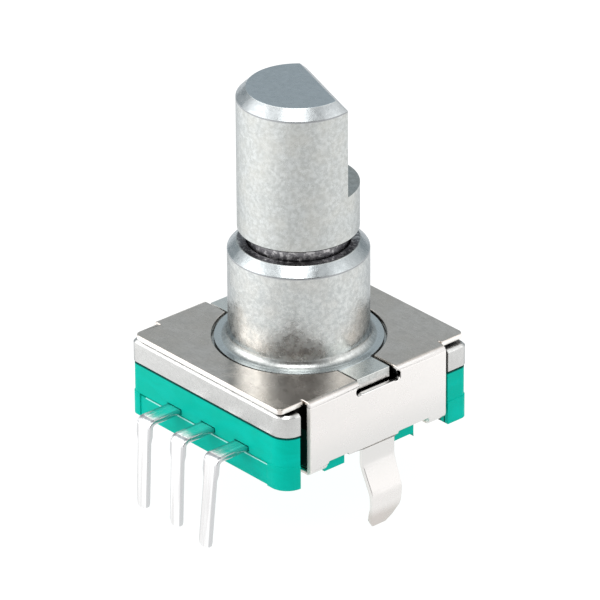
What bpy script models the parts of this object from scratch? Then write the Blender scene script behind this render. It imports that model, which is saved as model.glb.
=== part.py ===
"""Low-profile rotary encoder with three terminals, soldered upright into a circuit board.

Frame: the origin is on the shaft's axis at the board's face. +Z runs out of the board along
the shaft, -Y is the side of the three encoder terminals, and the cover's lugs are on +X and -X.
Every size below is in millimetres, and the meshes are scaled to metres as they are made.
"""
import math

import bmesh
import bpy

MM = 0.001
GAP = 0.03  # clearance between pieces that touch
RUNNING = 0.05  # clearance of pieces that turn in each other
OVER = 1.0  # how far a cutter passes through
ROUND = 64  # segments of the large rounds
SMALL_ROUND = 40

# Shaft
SHAFT_TIP = 17.95
HEAD_R = 3.0
TIP_CHAMFER = 0.5
SHOULDER_Z = 10.40  # lower end of the 6 mm head
SHOULDER_CHAMFER = 0.08
NECK_R = 2.5  # runs in the bushing
FLAT_DISTANCE = 1.55  # from the axis, so the D measures 4.55 across
FLAT_FOOT_Z = 12.82
FLAT_TURN = math.radians(70.8)  # heading of the flat at rest
GROOVE_R = 1.6
GROOVE_LOW, GROOVE_HIGH = 3.22, 3.50
DRIVE_R = 1.95  # double-D end that turns the rotor
DRIVE_HALF = 1.35
DRIVE_LOW = 1.80
FOOT_R = 1.45  # journal that runs in the base
FOOT_CHAMFER = 0.12
SHAFT_FOOT = 1.00

# Bushing
BUSH_R = 3.5
BUSH_TOP = 9.75
BUSH_CHAMFER = 0.47
BOSS_R = 4.18
BOSS_Z = 4.44
FOOT_FILLET = 0.45
FLANGE_X, FLANGE_Y = 5.75, 6.00
FLANGE_CORNERS = (0.40, 0.95, 0.40, 0.95)  # from +X +Y round to +X -Y
FLANGE_CHAMFER = 0.12
FLANGE_LOW, FLANGE_HIGH = 2.87, 4.17
REBATE, REBATE_Z = 0.55, 4.08  # the flange's rim is lower than its middle, in from the edge by this
CAVITY_R = 4.5
CAVITY_ROOF = 3.55
TAB_REACH = 5.42
TAB_HALF = 1.05
TAB_LOW, TAB_TOP = 3.87, 4.42
RECESS_REACH, RECESS_HALF = 5.10, 1.50  # the flange is cut back under each tab

# Sheet cover
SHEET = 0.30
COVER_TOP = 4.50
COVER_Y = 6.05
COVER_BEND = 0.20
SIDE_X = 5.85  # outer face of the side plates
SIDE_HALF = 4.45
CORNER_X = 5.40  # the top plate's reach beyond the ends of the side plates
CORNER_R = 0.35
TEAR_REACH, TEAR_WIDTH = 5.22, 0.08  # slit at each end of the bend
SIDE_FOOT_Z = 0.76
CRIMP_Z = 0.45  # lower face of the crimp feet folded under the wafer
CRIMP_REACH = 4.9
CRIMP_START = 3.35
HOLE_R = 4.32
NOTCH_HALF = 1.20
NOTCH_Z = 3.80
RELIEF_R = 0.26
RELIEF_Z = 4.00
NOTCH_NEAR, NOTCH_FAR = (-3.25, -1.95), (1.30, 3.35)
NOTCH_ROOF = 0.88
LUG_SHEET = 0.28
LUG_HALVES = ((0, 1.05), (-2.0, 0.97), (-2.9, 0.90), (-3.4, 0.70), (-3.8, 0.40))  # height, half width

# Base: one moulding, with its parting line at the terminals' level
BASE_X, BASE_Y = 5.75, 6.00
BASE_CORNERS = (0.40, 1.00, 0.40, 1.00)
PARTING_STEP = 0.03  # the upper half is this much smaller all round
PARTING_Z = 1.25
BASE_HIGH = 2.84
BASE_FLOOR = 1.75
WAIST_REACH = 5.50  # between the corners, where the cover's side plates lie
WAIST_START, WAIST_END = -5.00, 4.66
SLOT_REACH, SLOT_END = 5.15, -4.38  # the waist is deeper at its wide end
RIB_NEAR, RIB_FAR = (-3.25, -1.95), (1.30, 2.60)  # two ribs seen through the side plate's notches
RIB_LOW, RIB_REACH = 0.20, 5.00
POCKET_REACH = 4.20
FRONT_SETBACK = 0.07  # of the lower half's face under the terminals
GROOVE_DEPTH = 0.40
GROOVE_WIDTH = 0.12
GROOVE_START, GROOVE_END = -5.1, 4.4
WINDOW_HALF = 0.45  # opening over each wiper
WINDOW_OUTER, WINDOW_INNER = -5.10, -3.55

# Terminals and legs
PITCH = 2.5
TERMINAL_SHEET = 0.24
TERMINAL_HALF = 0.50
LEG_HALF = 0.40
TERMINAL_TOP = PARTING_Z + 0.30
TERMINAL_LEG_Y = -7.86
TERMINAL_TIP = -3.30
TERMINAL_END_Y = -4.2
SPLAY = {"a": 0.20, "common": 0.20, "b": 0.50}  # outward lean of each leg at its tip
WIPER_X = 2.3
WIPER_SHEET = 0.08
WIPER_HALF = 0.35
WIPER_SPLIT = 0.06  # half the slit between the two fingers

# Rotor stack
DETENTS = 20
ROTOR_R = 4.35
ROTOR_LOW, ROTOR_HIGH = 2.44, 3.12
RIDGE = 0.10
ROTOR_RECESS_R = 3.05
ROTOR_RECESS_Z = 2.68
HUB_R = 2.3
HUB_LOW = 1.92
DISC_LOW, DISC_HIGH = 2.33, 2.41
DISC_R, DISC_RING_R = 4.2, 3.15  # over the segments, and of the common ring
CLIP_R, CLIP_MOUTH = 2.8, 30  # outer radius, and half the mouth in degrees
SPRING_LOW, SPRING_HIGH = 3.40, 3.50
SPRING_INNER, SPRING_OUTER = 3.2, 4.4
NOSE_START, NOSE_END = 3.35, 4.2


def clear_scene():
    for obj in list(bpy.data.objects):
        bpy.data.objects.remove(obj, do_unlink=True)


def finish(name, colour, roughness, metallic):
    """One Principled material."""
    made = bpy.data.materials.new(name)
    made.use_nodes = True
    shader = made.node_tree.nodes["Principled BSDF"]
    shader.inputs["Base Color"].default_value = (*colour, 1.0)
    shader.inputs["Roughness"].default_value = roughness
    shader.inputs["Metallic"].default_value = metallic
    made.diffuse_color = (*colour, 1.0)
    return made


# ---------------------------------------------------------------- shapes, in millimetres

def prism(outline, low, high, plane="XY"):
    """A closed outline in one plane, extruded along the plane's normal from low to high."""
    place = {
        "XY": lambda u, v, w: (u, v, w),
        "XZ": lambda u, v, w: (u, w, v),
        "YZ": lambda u, v, w: (w, u, v),
    }[plane]
    bm = bmesh.new()
    face = bm.faces.new([bm.verts.new(place(u, v, low)) for u, v in outline])
    grown = bmesh.ops.extrude_face_region(bm, geom=[face])["geom"]
    moved = [item for item in grown if isinstance(item, bmesh.types.BMVert)]
    bmesh.ops.translate(bm, vec=place(0, 0, high - low), verts=moved)
    bmesh.ops.recalc_face_normals(bm, faces=bm.faces)
    return bm


def chamfered(bm, height, width):
    """Takes the outer edge off a flat top."""
    rim = [edge for edge in bm.edges if all(abs(vert.co.z - height) < 1e-4 for vert in edge.verts)]
    bmesh.ops.bevel(bm, geom=rim, offset=width, segments=1, affect="EDGES", profile=0.5)
    return bm


def turned(profile, steps=ROUND):
    """A profile of (radius, height) turned about Z. One that starts off the axis is a ring."""
    bm = bmesh.new()
    verts = [bm.verts.new((radius, 0, height)) for radius, height in profile]
    edges = [bm.edges.new(pair) for pair in zip(verts, verts[1:])]
    if profile[0][0] > 0:
        edges.append(bm.edges.new((verts[-1], verts[0])))
    bmesh.ops.spin(bm, geom=verts + edges, axis=(0, 0, 1), cent=(0, 0, 0), steps=steps,
                   angle=2 * math.pi, use_merge=True)
    bmesh.ops.remove_doubles(bm, verts=bm.verts, dist=1e-5)
    bmesh.ops.recalc_face_normals(bm, faces=bm.faces)
    return bm


def box(low, high):
    corners = [(low[0], low[1]), (high[0], low[1]), (high[0], high[1]), (low[0], high[1])]
    return prism(corners, low[2], high[2])


def arc(radius, start, end, steps, centre=(0.0, 0.0)):
    """Points on a circle from start to end, in degrees."""
    angles = [math.radians(start + (end - start) * k / steps) for k in range(steps + 1)]
    return [(centre[0] + radius * math.cos(a), centre[1] + radius * math.sin(a)) for a in angles]


def circle(radius, centre=(0.0, 0.0), steps=SMALL_ROUND):
    return arc(radius, 0, 360, steps, centre)[:-1]


def rounded_rectangle(half_x, half_y, radii, steps=8):
    outline = []
    signs = ((1, 1, 0), (-1, 1, 90), (-1, -1, 180), (1, -1, 270))
    for (sign_x, sign_y, start), radius in zip(signs, radii):
        centre = (sign_x * (half_x - radius), sign_y * (half_y - radius))
        outline += arc(radius, start, start + 90, steps, centre)
    return outline


def sector(inner, outer, start, end, steps):
    return arc(outer, start, end, steps) + arc(inner, end, start, steps)


def rounded_path(points, radius, steps=5):
    """A polyline with each inner corner replaced by an arc of the given radius."""
    path = [points[0]]
    for before, corner, after in zip(points, points[1:], points[2:]):
        ahead = math.atan2(after[1] - corner[1], after[0] - corner[0])
        behind = math.atan2(before[1] - corner[1], before[0] - corner[0])
        inner = (ahead - behind + math.pi) % (2 * math.pi) - math.pi
        if abs(abs(inner) - math.pi) < 0.02:
            path.append(corner)
            continue
        half = abs(inner) / 2
        reach = radius / math.tan(half)
        middle = behind + inner / 2
        centre = (corner[0] + radius / math.sin(half) * math.cos(middle),
                  corner[1] + radius / math.sin(half) * math.sin(middle))
        first = (corner[0] + reach * math.cos(behind), corner[1] + reach * math.sin(behind))
        last = (corner[0] + reach * math.cos(ahead), corner[1] + reach * math.sin(ahead))
        start = math.atan2(first[1] - centre[1], first[0] - centre[0])
        sweep = math.atan2(last[1] - centre[1], last[0] - centre[0]) - start
        sweep = (sweep + math.pi) % (2 * math.pi) - math.pi
        path += [(centre[0] + radius * math.cos(start + sweep * k / steps),
                  centre[1] + radius * math.sin(start + sweep * k / steps))
                 for k in range(steps + 1)]
    return path + [points[-1]]


def sheet_faces(path, thickness):
    """The two faces of a sheet of even thickness, seen edge on, along a centre path."""
    left, right = [], []
    for k, point in enumerate(path):
        before = path[max(k - 1, 0)]
        after = path[min(k + 1, len(path) - 1)]
        into = (point[0] - before[0], point[1] - before[1])
        out = (after[0] - point[0], after[1] - point[1])
        into = into if k else out
        out = out if k < len(path) - 1 else into
        into_n = (-into[1] / math.hypot(*into), into[0] / math.hypot(*into))
        out_n = (-out[1] / math.hypot(*out), out[0] / math.hypot(*out))
        total = (into_n[0] + out_n[0], into_n[1] + out_n[1])
        scale = thickness / 2 / (1 + into_n[0] * out_n[0] + into_n[1] * out_n[1])
        left.append((point[0] + total[0] * scale, point[1] + total[1] * scale))
        right.append((point[0] - total[0] * scale, point[1] - total[1] * scale))
    return left, right


def strip(path, thickness):
    """The closed outline of a sheet seen edge on."""
    left, right = sheet_faces(path, thickness)
    return left + right[::-1]


def ribbon(path, thickness, centre, halves, place):
    """A bent strip whose half width is given at each point of its path."""
    bm = bmesh.new()
    rings = []
    for left, right, half in zip(*sheet_faces(path, thickness), halves):
        corners = ((left, -half), (left, half), (right, half), (right, -half))
        rings.append([bm.verts.new(place(*point, centre + w)) for point, w in corners])
    for ring, following in zip(rings, rings[1:]):
        for k in range(4):
            bm.faces.new((ring[k], ring[k - 1], following[k - 1], following[k]))
    bm.faces.new(rings[0])
    bm.faces.new(rings[-1][::-1])
    bmesh.ops.recalc_face_normals(bm, faces=bm.faces)
    return bm


def joined(*shapes):
    """Several separate shapes in one mesh."""
    whole = bmesh.new()
    for shape in shapes:
        mesh = bpy.data.meshes.new("shape")
        shape.to_mesh(mesh)
        shape.free()
        whole.from_mesh(mesh)
        bpy.data.meshes.remove(mesh)
    return whole


# ---------------------------------------------------------------- objects

def to_mesh(name, bm):
    bmesh.ops.scale(bm, vec=(MM, MM, MM), verts=bm.verts)
    mesh = bpy.data.meshes.new(name)
    bm.to_mesh(mesh)
    bm.free()
    mesh.shade_smooth()
    mesh.set_sharp_from_angle(angle=math.radians(32))
    return mesh


def piece(name, bm, look):
    """A named sub-part, made at its place in the assembly with its origin on the shaft's axis."""
    obj = bpy.data.objects.new(name, to_mesh(name, bm))
    obj.data.materials.append(look)
    bpy.context.collection.objects.link(obj)
    return obj


def combine(obj, bm, operation):
    """A Boolean with a hidden helper object."""
    helper = bpy.data.objects.new(f"{obj.name}_{operation.lower()}", to_mesh("helper", bm))
    bpy.context.collection.objects.link(helper)
    helper.hide_render = True
    helper.display_type = "WIRE"
    helper.parent = obj
    modifier = obj.modifiers.new(operation.title(), "BOOLEAN")
    modifier.operation = operation
    modifier.object = helper


def cut(obj, *shapes):
    for shape in shapes:
        combine(obj, shape, "DIFFERENCE")


def add(obj, *shapes):
    for shape in shapes:
        combine(obj, shape, "UNION")


def turn(bm, angle):
    rotation = [(math.cos(angle), -math.sin(angle)), (math.sin(angle), math.cos(angle))]
    for vert in bm.verts:
        x, y = vert.co.x, vert.co.y
        vert.co.x = rotation[0][0] * x + rotation[0][1] * y
        vert.co.y = rotation[1][0] * x + rotation[1][1] * y
    return bm


def both_sides(make):
    """The same shape on the +X side and, turned half a turn, on the -X side."""
    return joined(make(), turn(make(), math.pi))


# ---------------------------------------------------------------- shaft and bushing

def make_shaft(look):
    shaft = piece("shaft", turned([
        (0, SHAFT_TIP),
        (HEAD_R - TIP_CHAMFER, SHAFT_TIP),
        (HEAD_R, SHAFT_TIP - TIP_CHAMFER),
        (HEAD_R, SHOULDER_Z + SHOULDER_CHAMFER),
        (HEAD_R - SHOULDER_CHAMFER, SHOULDER_Z),
        (NECK_R, SHOULDER_Z),
        (NECK_R, GROOVE_HIGH),
        (GROOVE_R, GROOVE_HIGH),
        (GROOVE_R, GROOVE_LOW),
        (DRIVE_R, GROOVE_LOW),
        (DRIVE_R, DRIVE_LOW),
        (FOOT_R, DRIVE_LOW),
        (FOOT_R, SHAFT_FOOT + FOOT_CHAMFER),
        (FOOT_R - FOOT_CHAMFER, SHAFT_FOOT),
        (0, SHAFT_FOOT),
    ]), look)
    # the flat, with its own chamfer at the tip, cut in a plane through the axis and turned
    lead = 0.2
    side = [
        (FLAT_DISTANCE, FLAT_FOOT_Z),
        (HEAD_R + OVER, FLAT_FOOT_Z),
        (HEAD_R + OVER, SHAFT_TIP + lead),
        (FLAT_DISTANCE - TIP_CHAMFER - lead, SHAFT_TIP + lead),
        (FLAT_DISTANCE, SHAFT_TIP - TIP_CHAMFER),
    ]
    cut(shaft, turn(prism(side, -HEAD_R - OVER, HEAD_R + OVER, "XZ"), FLAT_TURN))
    cut(shaft, both_sides(lambda: box((DRIVE_HALF, -HEAD_R, DRIVE_LOW), (HEAD_R, HEAD_R, GROOVE_LOW))))
    return shaft


def make_bushing(look):
    web = CAVITY_ROOF + 0.1
    bushing = piece("bushing", turned([
        (0, BUSH_TOP),
        (BUSH_R - BUSH_CHAMFER, BUSH_TOP),
        (BUSH_R, BUSH_TOP - BUSH_CHAMFER),
        *arc(FOOT_FILLET, 180, 270, 6, (BUSH_R + FOOT_FILLET, BOSS_Z + FOOT_FILLET)),
        (BOSS_R, BOSS_Z),
        (BOSS_R, web),
        (0, web),
    ]), look)
    rim = prism(rounded_rectangle(FLANGE_X, FLANGE_Y, FLANGE_CORNERS), FLANGE_LOW, REBATE_Z)
    add(bushing, chamfered(rim, REBATE_Z, FLANGE_CHAMFER))
    inner = rounded_rectangle(FLANGE_X - REBATE, FLANGE_Y - REBATE, FLANGE_CORNERS)
    add(bushing, prism(inner, web, FLANGE_HIGH))
    low, high = FLANGE_LOW - OVER, FLANGE_HIGH + 0.01
    cut(bushing, waist(low, high), slot(low, high))
    cut(bushing, waist(low, high, RECESS_REACH, -RECESS_HALF, RECESS_HALF))
    add(bushing, box((-TAB_REACH, -TAB_HALF, TAB_LOW), (TAB_REACH, TAB_HALF, TAB_TOP)))
    cut(bushing, prism(circle(CAVITY_R, steps=ROUND), low, CAVITY_ROOF))
    cut(bushing, prism(circle(NECK_R + RUNNING, steps=ROUND), low, BUSH_TOP + OVER))
    return bushing


def make_retaining_clip(look):
    outline = sector(GROOVE_R + RUNNING, CLIP_R, CLIP_MOUTH, 360 - CLIP_MOUTH, 30)
    return piece("retaining_clip", prism(outline, GROOVE_LOW + GAP, GROOVE_HIGH - GAP), look)


# ---------------------------------------------------------------- sheet cover

def make_cover(look):
    middle = SHEET / 2
    side = SIDE_X - middle
    top = COVER_TOP - middle
    foot = CRIMP_Z + middle
    path = [(-CRIMP_REACH, foot), (-side, foot), (-side, top),
            (side, top), (side, foot), (CRIMP_REACH, foot)]
    folded = strip(rounded_path(path, COVER_BEND), SHEET)
    cover = piece("cover", prism(folded, -COVER_Y, COVER_Y, "XZ"), look)

    inner, outer = CRIMP_REACH - 0.4, SIDE_X + OVER
    under, floor, roof = COVER_TOP - SHEET + 0.005, CRIMP_Z - OVER, COVER_TOP + OVER
    for end in (-1, 1):
        low_y, high_y = sorted((end * SIDE_HALF, end * (COVER_Y + OVER)))
        # no side plate at the corners, and the top plate trimmed there
        cut(cover, both_sides(lambda: box((inner, low_y, floor), (outer, high_y, under))))
        cut(cover, both_sides(lambda: corner_trim(end)))
        low_y, high_y = sorted((end * SIDE_HALF, end * (SIDE_HALF + TEAR_WIDTH)))
        cut(cover, both_sides(lambda: box((TEAR_REACH, low_y, NOTCH_Z), (outer, high_y, roof))))
    cut(cover, prism(circle(HOLE_R, steps=ROUND), NOTCH_Z, roof))
    cut(cover, box((-outer, -NOTCH_HALF, NOTCH_Z), (outer, NOTCH_HALF, roof)))
    for y in (-NOTCH_HALF, NOTCH_HALF):
        relief = circle(RELIEF_R, (y, RELIEF_Z), 16)
        cut(cover, prism(relief, -outer, -CRIMP_REACH, "YZ"), prism(relief, CRIMP_REACH, outer, "YZ"))
    # between the crimp feet the side plates stop higher, with a notch on each side of the lug
    cut(cover, both_sides(lambda: box((inner, -CRIMP_START, floor), (outer, CRIMP_START, SIDE_FOOT_Z))))
    for low_y, high_y in (NOTCH_NEAR, NOTCH_FAR):
        cut(cover, both_sides(lambda: box((CRIMP_REACH, low_y, 0), (outer, high_y, NOTCH_ROOF))))
    add(cover, both_sides(lug))
    return cover


def corner_trim(end):
    """What is taken off one corner of the top plate."""
    x, y = CORNER_X, COVER_Y
    outline = [(x, SIDE_HALF), *arc(CORNER_R, 0, 90, 6, (x - CORNER_R, y - CORNER_R)),
               (x - CORNER_R, y + OVER), (x + OVER, y + OVER), (x + OVER, SIDE_HALF)]
    return prism([(u, end * v) for u, v in outline], NOTCH_Z, COVER_TOP + OVER)


def lug_half(height):
    """Half the width of a lug, which narrows toward its tip."""
    for (high, wide), (low, narrow) in zip(LUG_HALVES, LUG_HALVES[1:]):
        if height > low:
            return narrow + (wide - narrow) * min((height - low) / (high - low), 1)
    return LUG_HALVES[-1][1]


def lug():
    """A snap-in leg: straight, then bulging outward, then hooked back in to its tip."""
    centre = SIDE_X - SHEET / 2
    path = rounded_path([
        (centre, SIDE_FOOT_Z + 1.2),
        (centre, -0.25),
        (centre + 0.66, -1.75),
        (centre + 0.62, -2.55),
        (centre + 0.02, -3.76),
    ], 1.2, steps=6)
    path[-1:] = [(centre + 0.20, -3.40), (centre + 0.09, -3.62), path[-1]]
    halves = [lug_half(height) for _, height in path]
    return ribbon(path, LUG_SHEET, 0, halves, lambda u, v, w: (u, w, v))


# ---------------------------------------------------------------- base

def waist(low, high, reach=WAIST_REACH, low_y=WAIST_START, high_y=WAIST_END):
    """What is taken off both sides between the corners for the cover's side plates."""
    return both_sides(lambda: box((reach, low_y, low), (BASE_X + OVER, high_y, high)))


def slot(low, high):
    """The deeper end of the waist, beside one upright edge of each side plate."""
    return waist(low, high, SLOT_REACH, WAIST_START, SLOT_END)


def make_base(look):
    lower = rounded_rectangle(BASE_X, BASE_Y, BASE_CORNERS)
    upper = rounded_rectangle(BASE_X - PARTING_STEP, BASE_Y - PARTING_STEP, BASE_CORNERS)
    base = piece("base", prism(lower, 0, PARTING_Z), look)
    add(base, prism(upper, PARTING_Z - 0.1, BASE_HIGH))
    below, above = -OVER, BASE_HIGH + OVER
    cut(base, waist(below, above), slot(below, above))
    # pockets for the crimp feet and the lug's root, with two ribs left standing between them
    pocket_high = CRIMP_Z + SHEET + 0.08
    for low_y, high_y in ((WAIST_START, RIB_NEAR[0]), (RIB_NEAR[1], RIB_FAR[0]),
                          (RIB_FAR[1], WAIST_END)):
        cut(base, waist(below, pocket_high, POCKET_REACH, low_y, high_y))
    cut(base, waist(below, RIB_LOW, RIB_REACH, *RIB_NEAR))
    cut(base, waist(below, RIB_LOW, RIB_REACH, *RIB_FAR))
    # under the terminals the lower half is set back, with a groove along the parting line
    front = -BASE_Y + FRONT_SETBACK
    outside = -BASE_Y - OVER
    groove = [(outside, PARTING_Z), (front + GROOVE_DEPTH, PARTING_Z),
              (front, PARTING_Z - GROOVE_WIDTH), (front, below), (outside, below)]
    cut(base, prism(groove, GROOVE_START, GROOVE_END, "YZ"))
    cut(base, prism(circle(CAVITY_R, steps=ROUND), BASE_FLOOR, above))
    cut(base, prism(circle(FOOT_R + RUNNING), SHAFT_FOOT - RUNNING, above))
    half = TERMINAL_HALF + GAP
    low, high = TERMINAL_TOP - TERMINAL_SHEET - GAP, TERMINAL_TOP + GAP
    for x in (-1, 0, 1):
        cut(base, box((x * PITCH - half, outside, low), (x * PITCH + half, TERMINAL_END_Y + GAP, high)))
        left, right = x * WIPER_X - WINDOW_HALF, x * WIPER_X + WINDOW_HALF
        cut(base, box((left, WINDOW_OUTER, high - GAP), (right, WINDOW_INNER, above)))
    return base


# ---------------------------------------------------------------- terminals and contacts

def make_terminal(name, x, look):
    """Flat out of the base, bent straight down, and narrowed below a shoulder."""
    level = TERMINAL_TOP - TERMINAL_SHEET / 2
    lean = SPLAY[name] / (level - TERMINAL_TIP)
    path = rounded_path([
        (TERMINAL_END_Y, level),
        (TERMINAL_LEG_Y, level),
        (TERMINAL_LEG_Y - lean * (level - 0.7), 0.7),
    ], 0.30)
    halves = [TERMINAL_HALF] * len(path)
    for z, half in ((0.3, LEG_HALF), (TERMINAL_TIP + 0.4, LEG_HALF), (TERMINAL_TIP, LEG_HALF / 2)):
        path.append((TERMINAL_LEG_Y - lean * (level - z), z))
        halves.append(half)
    leg = ribbon(path, TERMINAL_SHEET, x, halves, lambda u, v, w: (w, u, v))
    return piece(f"terminal_{name}", leg, look)


def make_wiper(name, x, tip_y, look):
    """A spring finger pair that stands on its terminal and bears up on the code disc."""
    level = TERMINAL_TOP + 0.01 + WIPER_SHEET / 2
    crest = DISC_LOW - GAP - WIPER_SHEET / 2
    path = [(-5.0, level), (-4.5, level), (-4.3, level + 0.05), (-3.5, level + 0.45),
            (tip_y - 0.25, crest - 0.05), (tip_y, crest), (tip_y + 0.25, crest - 0.10)]
    wiper = piece(f"wiper_{name}", prism(strip(path, WIPER_SHEET), x - WIPER_HALF, x + WIPER_HALF, "YZ"), look)
    cut(wiper, box((x - WIPER_SPLIT, -4.1, 0), (x + WIPER_SPLIT, 0, DISC_HIGH)))
    return wiper


# ---------------------------------------------------------------- rotor stack

def make_rotor(look):
    body = turned([
        (0, ROTOR_RECESS_Z),
        (ROTOR_RECESS_R, ROTOR_RECESS_Z),
        (ROTOR_RECESS_R, ROTOR_HIGH),
        (ROTOR_R, ROTOR_HIGH),
        (ROTOR_R, ROTOR_LOW),
        (HUB_R, ROTOR_LOW),
        (HUB_R, HUB_LOW),
        (0, HUB_LOW),
    ], steps=4 * DETENTS)
    for vert in body.verts:
        if abs(vert.co.z - ROTOR_HIGH) < 1e-4:
            turn_angle = math.atan2(vert.co.y, vert.co.x)
            vert.co.z += RIDGE * (0.5 + 0.5 * math.cos(DETENTS * turn_angle))
    rotor = piece("rotor", body, look)
    radius = DRIVE_R + RUNNING
    side = math.degrees(math.acos((DRIVE_HALF + RUNNING) / radius))
    bore = arc(radius, side, 180 - side, 16) + arc(radius, 180 + side, 360 - side, 16)
    cut(rotor, prism(bore, HUB_LOW - OVER, ROTOR_HIGH + OVER))
    return rotor


def make_code_disc(look):
    outline = []
    pitch = 360 / DETENTS
    for k in range(DETENTS):
        start = k * pitch
        middle, stop = start + pitch / 2, start + pitch
        outline += arc(DISC_R, start, middle, 2) + arc(DISC_RING_R, middle, stop, 2)
    disc = piece("code_disc", prism(outline, DISC_LOW, DISC_HIGH), look)
    cut(disc, prism(circle(HUB_R + RUNNING), DISC_LOW - OVER, DISC_HIGH + OVER))
    return disc


def make_detent_spring(look):
    """A leaf ring under the bushing's flange, with two noses over the rotor's ridges."""
    profile = [(SPRING_INNER, SPRING_LOW), (SPRING_INNER, SPRING_HIGH),
               (SPRING_OUTER, SPRING_HIGH), (SPRING_OUTER, SPRING_LOW)]
    spring = piece("detent_spring", turned(profile, steps=48), look)
    nose_low, root = ROTOR_HIGH + RIDGE + GAP, SPRING_LOW + 0.05
    nose = [(-0.30, root), (-0.10, nose_low), (0.10, nose_low), (0.30, root)]
    add(spring, prism(nose, NOSE_START, NOSE_END, "XZ"), prism(nose, -NOSE_END, -NOSE_START, "XZ"))
    middle = (SPRING_INNER + SPRING_OUTER) / 2
    for heading in (0, 180):
        window = sector(SPRING_INNER - 0.2, middle - 0.05, heading - 24, heading + 24, 6)
        cut(spring, prism(window, SPRING_LOW - OVER, SPRING_HIGH + OVER))
    return spring


def main():
    clear_scene()
    make_shaft(finish("shaft_zinc", (0.60, 0.62, 0.63), 0.32, 1.0))
    make_bushing(finish("bushing_zinc", (0.58, 0.60, 0.60), 0.30, 1.0))
    make_cover(finish("cover_nickel", (0.66, 0.64, 0.61), 0.22, 1.0))
    make_base(finish("base_green", (0.0, 0.50, 0.36), 0.38, 0.0))
    make_retaining_clip(finish("clip_steel", (0.45, 0.45, 0.46), 0.30, 1.0))
    make_detent_spring(finish("detent_steel", (0.62, 0.60, 0.56), 0.25, 1.0))
    make_rotor(finish("rotor_plastic", (0.05, 0.05, 0.05), 0.50, 0.0))
    make_code_disc(finish("code_disc_brass", (0.75, 0.60, 0.30), 0.28, 1.0))
    for name, x, tip_y in (("a", -1, -2.9), ("common", 0, -2.75), ("b", 1, -2.9)):
        make_terminal(name, x * PITCH, finish(f"terminal_{name}_tin", (0.80, 0.80, 0.79), 0.30, 1.0))
        make_wiper(name, x * WIPER_X, tip_y, finish(f"wiper_{name}_bronze", (0.72, 0.50, 0.28), 0.28, 1.0))


main()
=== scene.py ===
"""Looks of a low-profile rotary encoder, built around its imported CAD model.

Sizes are in millimetres until a mesh is made. The frame is the CAD model's: +Z is the shaft,
-Y is the side of the terminals, and the board lugs are on +X and -X.
"""
import math

import bmesh
import bpy
from mathutils import Matrix, Vector


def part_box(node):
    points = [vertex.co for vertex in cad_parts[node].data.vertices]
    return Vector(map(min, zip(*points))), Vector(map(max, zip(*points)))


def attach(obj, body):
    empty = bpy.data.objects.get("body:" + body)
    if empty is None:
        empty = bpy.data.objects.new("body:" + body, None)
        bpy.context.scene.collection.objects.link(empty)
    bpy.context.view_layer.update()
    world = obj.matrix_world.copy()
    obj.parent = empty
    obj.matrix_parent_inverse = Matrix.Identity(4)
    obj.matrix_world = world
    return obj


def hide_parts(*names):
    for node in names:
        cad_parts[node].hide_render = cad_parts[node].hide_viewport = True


MM = 0.001
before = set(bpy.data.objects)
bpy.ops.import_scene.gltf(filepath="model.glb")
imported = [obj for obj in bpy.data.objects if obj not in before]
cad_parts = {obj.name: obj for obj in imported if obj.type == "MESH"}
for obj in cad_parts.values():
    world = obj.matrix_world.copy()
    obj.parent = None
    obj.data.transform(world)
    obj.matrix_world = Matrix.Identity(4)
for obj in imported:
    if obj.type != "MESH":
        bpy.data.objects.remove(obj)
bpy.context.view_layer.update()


def span(node):
    """The lowest and highest corners of a CAD node, in millimetres."""
    low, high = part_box(node)
    return Vector(low) / MM, Vector(high) / MM


# ---------------------------------------------------------------- sizes

SHAFT_LOW, SHAFT_HIGH = span("shaft")
BUSH_LOW, BUSH_HIGH = span("bushing")
COVER_LOW, COVER_HIGH = span("cover")
BASE_HIGH = span("base")[1]

OVER = 1.0  # how far a cutter reaches past what it cuts
LAP = 0.1  # how far a shape reaches into the one it is joined to
OUTSIDE = 7.0  # past every side of the body

# Shaft
HEAD_R = -SHAFT_LOW.x
SHAFT_TIP = SHAFT_HIGH.z
TIP_CHAMFER = 0.5
TIP_MIDDLE_R = 0.4
SHOULDER_Z, SHOULDER_CHAMFER = 10.40, 0.09
NECK_R = 2.5
FLAT_DISTANCE = 1.55
FLAT_FOOT_Z = 12.82
FLAT_TURN = math.radians(70.8)
GROOVE_R = 1.6
GROOVE_LOW, GROOVE_HIGH = 3.22, 3.50
DRIVE_R, DRIVE_HALF, DRIVE_LOW = 1.95, 1.35, 1.80
DRIVE_CUT, TIP_OVER = 3.0, 0.2  # how far the cutters of the double D and of the tip's chamfer reach
FOOT_R, FOOT_CHAMFER = 1.45, 0.12
EDGE_R, EDGE_STEPS = 0.035, 4

# Bushing
BUSH_R = 3.5
BUSH_TOP = BUSH_HIGH.z
BUSH_CHAMFER = 0.47
BUSH_EDGE_R, BUSH_EDGE_STEPS = 0.08, 5
BORE_R = NECK_R + 0.05
BORE_MOUTH = 0.4
BOSS_R, BOSS_Z = 4.18, 4.44
FLANGE_X, FLANGE_Y = BUSH_HIGH.x, BUSH_HIGH.y
FLANGE_CORNERS = (0.40, 0.95, 0.40, 0.95)
FLANGE_CHAMFER, FLANGE_FOOT_CHAMFER = 0.12, 0.07
FOOT_FILLET = 0.45
FLANGE_LOW, FLANGE_HIGH = BUSH_LOW.z, 4.17
REBATE, REBATE_Z = 0.55, 4.08
CAVITY_R, CAVITY_ROOF = 4.5, 3.55
TAB_REACH, TAB_HALF = 5.42, 1.05
TAB_LOW, TAB_TOP = 3.87, 4.42
RECESS_REACH, RECESS_HALF = 5.10, 1.50

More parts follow.
